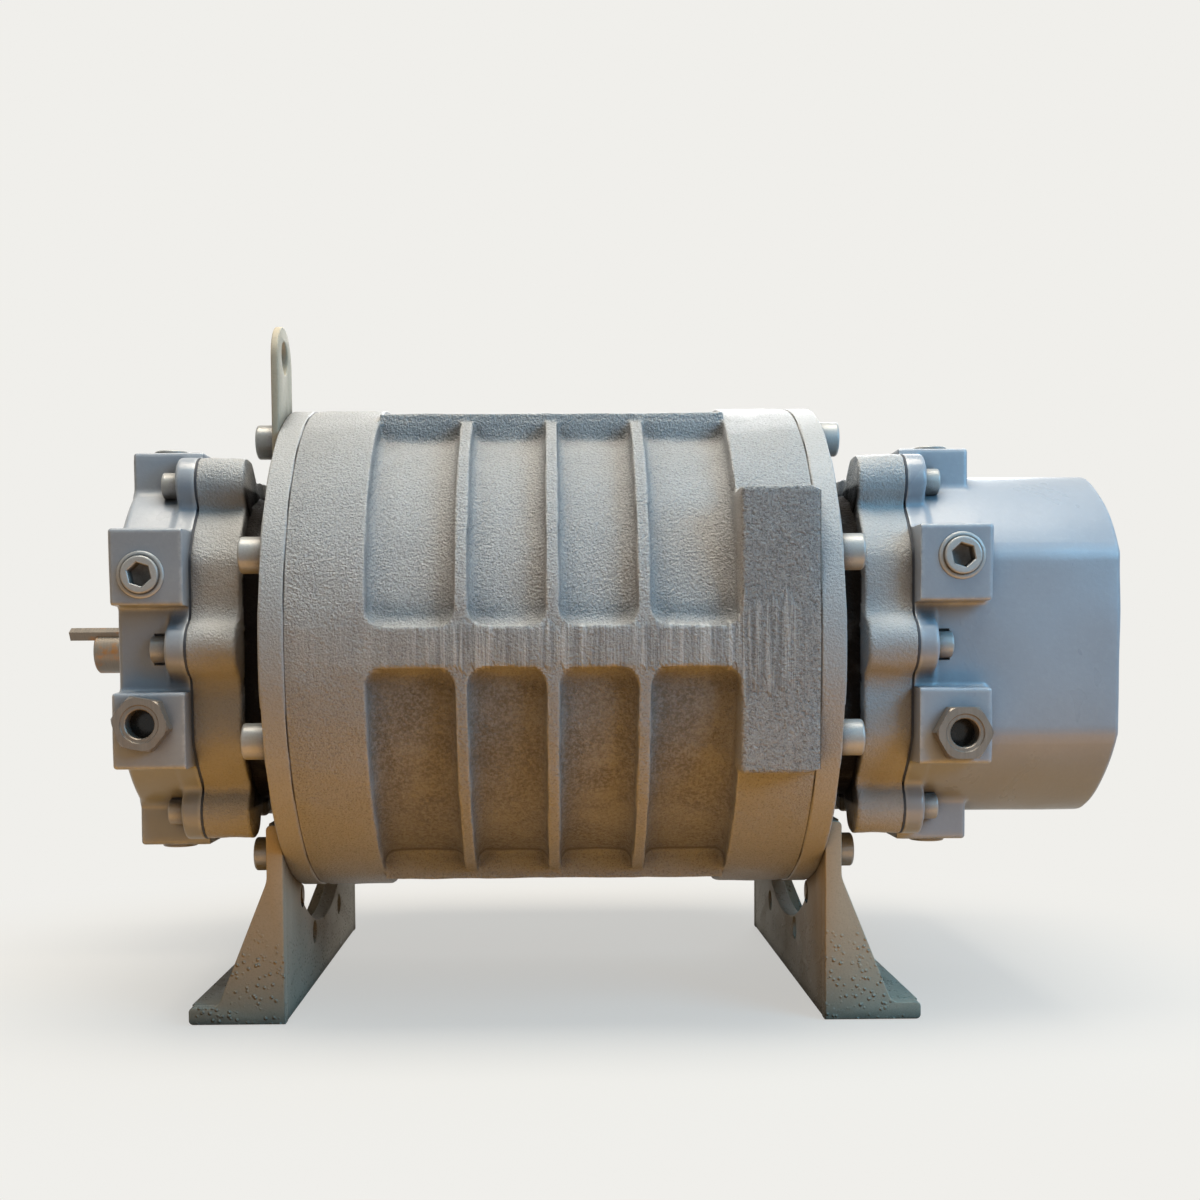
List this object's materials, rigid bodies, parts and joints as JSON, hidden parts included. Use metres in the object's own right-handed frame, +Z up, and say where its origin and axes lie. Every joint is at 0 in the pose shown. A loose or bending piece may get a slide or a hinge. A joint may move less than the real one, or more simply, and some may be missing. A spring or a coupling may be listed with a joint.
{
  "type": "rotary lobe blower",
  "caption": "Rotary lobe blower: ribbed casing, round headplates, end covers with oil plugs and gauges, a drive shaft, angle feet and a lifting strap.",
  "frame": {"origin": "on the floor, at the centre of the four foot bolt holes", "axes": "+X along the rotors from the drive end to the timing gear end, +Z up through the top port, the pictured side faces -Y"},
  "size_m": [0.6304, 0.386, 0.385],
  "materials": {
    "cast_paint": "silver grey paint over rough casting",
    "cover_paint": "silver grey paint, smooth",
    "bracket_paint": "silver grey paint, dusty",
    "gasket_paper": "dark gasket sheet",
    "painted_screw": "painted over",
    "painted_plug": "painted over, worn",
    "gauge_metal": "dull",
    "gauge_glass": "dark oil behind glass",
    "seal_rubber": "matte",
    "rotor_iron": "machined",
    "shaft_steel": "ground",
    "machined_steel": "ground"
  },
  "bodies": {
    "housing": {"drive_bearing_retainers": "machined_steel", "drive_cover_gasket": "gasket_paper", "drive_cover_screws": "painted_screw", "drive_drain_plugs": "painted_plug", "drive_end_cover": "cover_paint", "drive_end_foot": "bracket_paint", "drive_end_headplate": "cast_paint", "drive_fill_plugs": "painted_plug", "drive_gauge_lens": "gauge_glass", "drive_headplate_dowels": "machined_steel", "drive_headplate_screws": "painted_screw", "drive_retainer_screws": "machined_steel", "drive_rotor_seals": "seal_rubber", "drive_shaft_seal": "seal_rubber", "drive_side_plugs": "painted_plug", "drive_sight_gauge": "gauge_metal", "driven_ball_bearing_elements": "machined_steel", "driven_ball_bearing_outer_ring": "machined_steel", "driven_roller_bearing_elements": "machined_steel", "driven_roller_bearing_outer_ring": "machined_steel", "driving_ball_bearing_elements": "machined_steel", "driving_ball_bearing_outer_ring": "machined_steel", "driving_roller_bearing_elements": "machined_steel", "driving_roller_bearing_outer_ring": "machined_steel", "gear_bearing_retainers": "machined_steel", "gear_cover_gasket": "gasket_paper", "gear_cover_screws": "painted_screw", "gear_drain_plugs": "painted_plug", "gear_end_cover": "cover_paint", "gear_end_foot": "bracket_paint", "gear_end_headplate": "cast_paint", "gear_fill_plugs": "painted_plug", "gear_gauge_lens": "gauge_glass", "gear_headplate_dowels": "machined_steel", "gear_headplate_screws": "painted_screw", "gear_retainer_screws": "machined_steel", "gear_rotor_seals": "seal_rubber", "gear_side_plugs": "painted_plug", "gear_sight_gauge": "gauge_metal", "lifting_lug": "bracket_paint", "rotor_casing": "cast_paint"},
    "driving_rotor_set": {"coupling_key": "shaft_steel", "driving_ball_bearing_inner_ring": "machined_steel", "driving_gear_key": "machined_steel", "driving_gear_nut": "machined_steel", "driving_roller_bearing_inner_ring": "machined_steel", "driving_rotor": "rotor_iron", "driving_shaft": "shaft_steel", "driving_slinger": "machined_steel", "driving_slinger_nut": "machined_steel", "driving_timing_gear": "machined_steel"},
    "driven_rotor_set": {"driven_ball_bearing_inner_ring": "machined_steel", "driven_gear_key": "machined_steel", "driven_gear_nut": "machined_steel", "driven_roller_bearing_inner_ring": "machined_steel", "driven_rotor": "rotor_iron", "driven_shaft": "shaft_steel", "driven_slinger": "machined_steel", "driven_slinger_nut": "machined_steel", "driven_timing_gear": "machined_steel"}
  },
  "joints": [
    {"name": "driving_spin", "type": "hinge", "parent": "housing", "child": "driving_rotor_set", "pos_m": [0, 0.07, 0.206], "axis": [1, 0, 0], "continuous": true},
    {"name": "driven_spin", "type": "hinge", "parent": "housing", "child": "driven_rotor_set", "pos_m": [0, -0.07, 0.206], "axis": [1, 0, 0], "continuous": true}
  ],
  "couplings": [
    {"joint": "driven_spin", "follows": "driving_spin", "ratio": -1}
  ]
}
